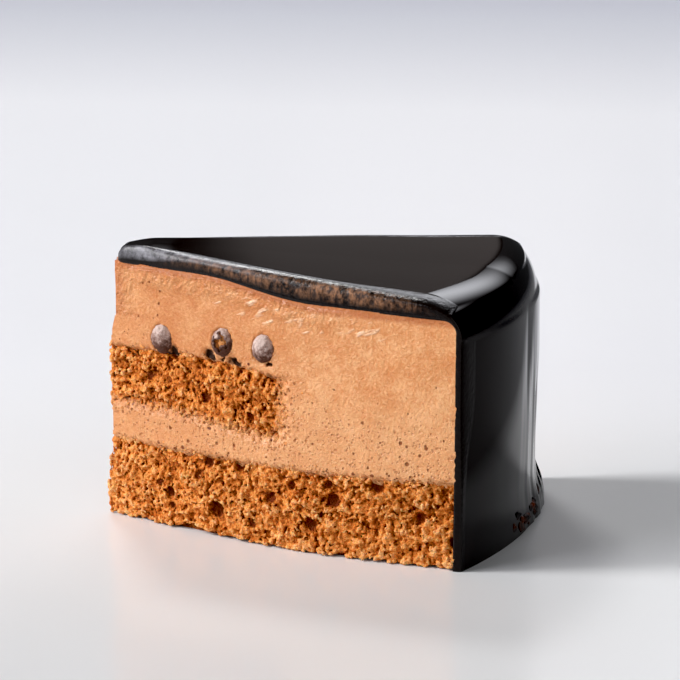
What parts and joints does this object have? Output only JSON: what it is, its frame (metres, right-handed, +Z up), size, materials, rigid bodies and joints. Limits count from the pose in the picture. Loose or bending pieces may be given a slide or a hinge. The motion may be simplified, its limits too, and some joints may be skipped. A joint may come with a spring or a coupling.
{
  "type": "chocolate mousse cake slice",
  "caption": "Wedge slice of glazed chocolate mousse cake with a sponge base, a sponge disc in the mousse, chocolate pearls and a dark glossy glaze.",
  "frame": {"origin": "on the surface it stands on, under the middle of the slice's box", "axes": "+X from the tip to the glazed outer side, +Z up; the front cut face looks to -Y and the other cut face to +Y"},
  "size_m": [0.0818, 0.0632, 0.0526],
  "materials": {
    "sponge": "matte open sponge crumb, orange-brown with dark pores",
    "mousse": "smooth satin milk chocolate mousse with fine air pits",
    "glaze": "mirror-smooth black-brown chocolate glaze",
    "pearl": "dull, slightly bloomed milk chocolate"
  },
  "bodies": {
    "root": {"sponge_base": "sponge", "sponge_disc": "sponge", "mousse": "mousse", "glaze": "glaze", "pearl_front_1": "pearl", "pearl_front_2": "pearl", "pearl_front_3": "pearl", "pearl_back_1": "pearl", "pearl_back_2": "pearl"}
  },
  "joints": []
}
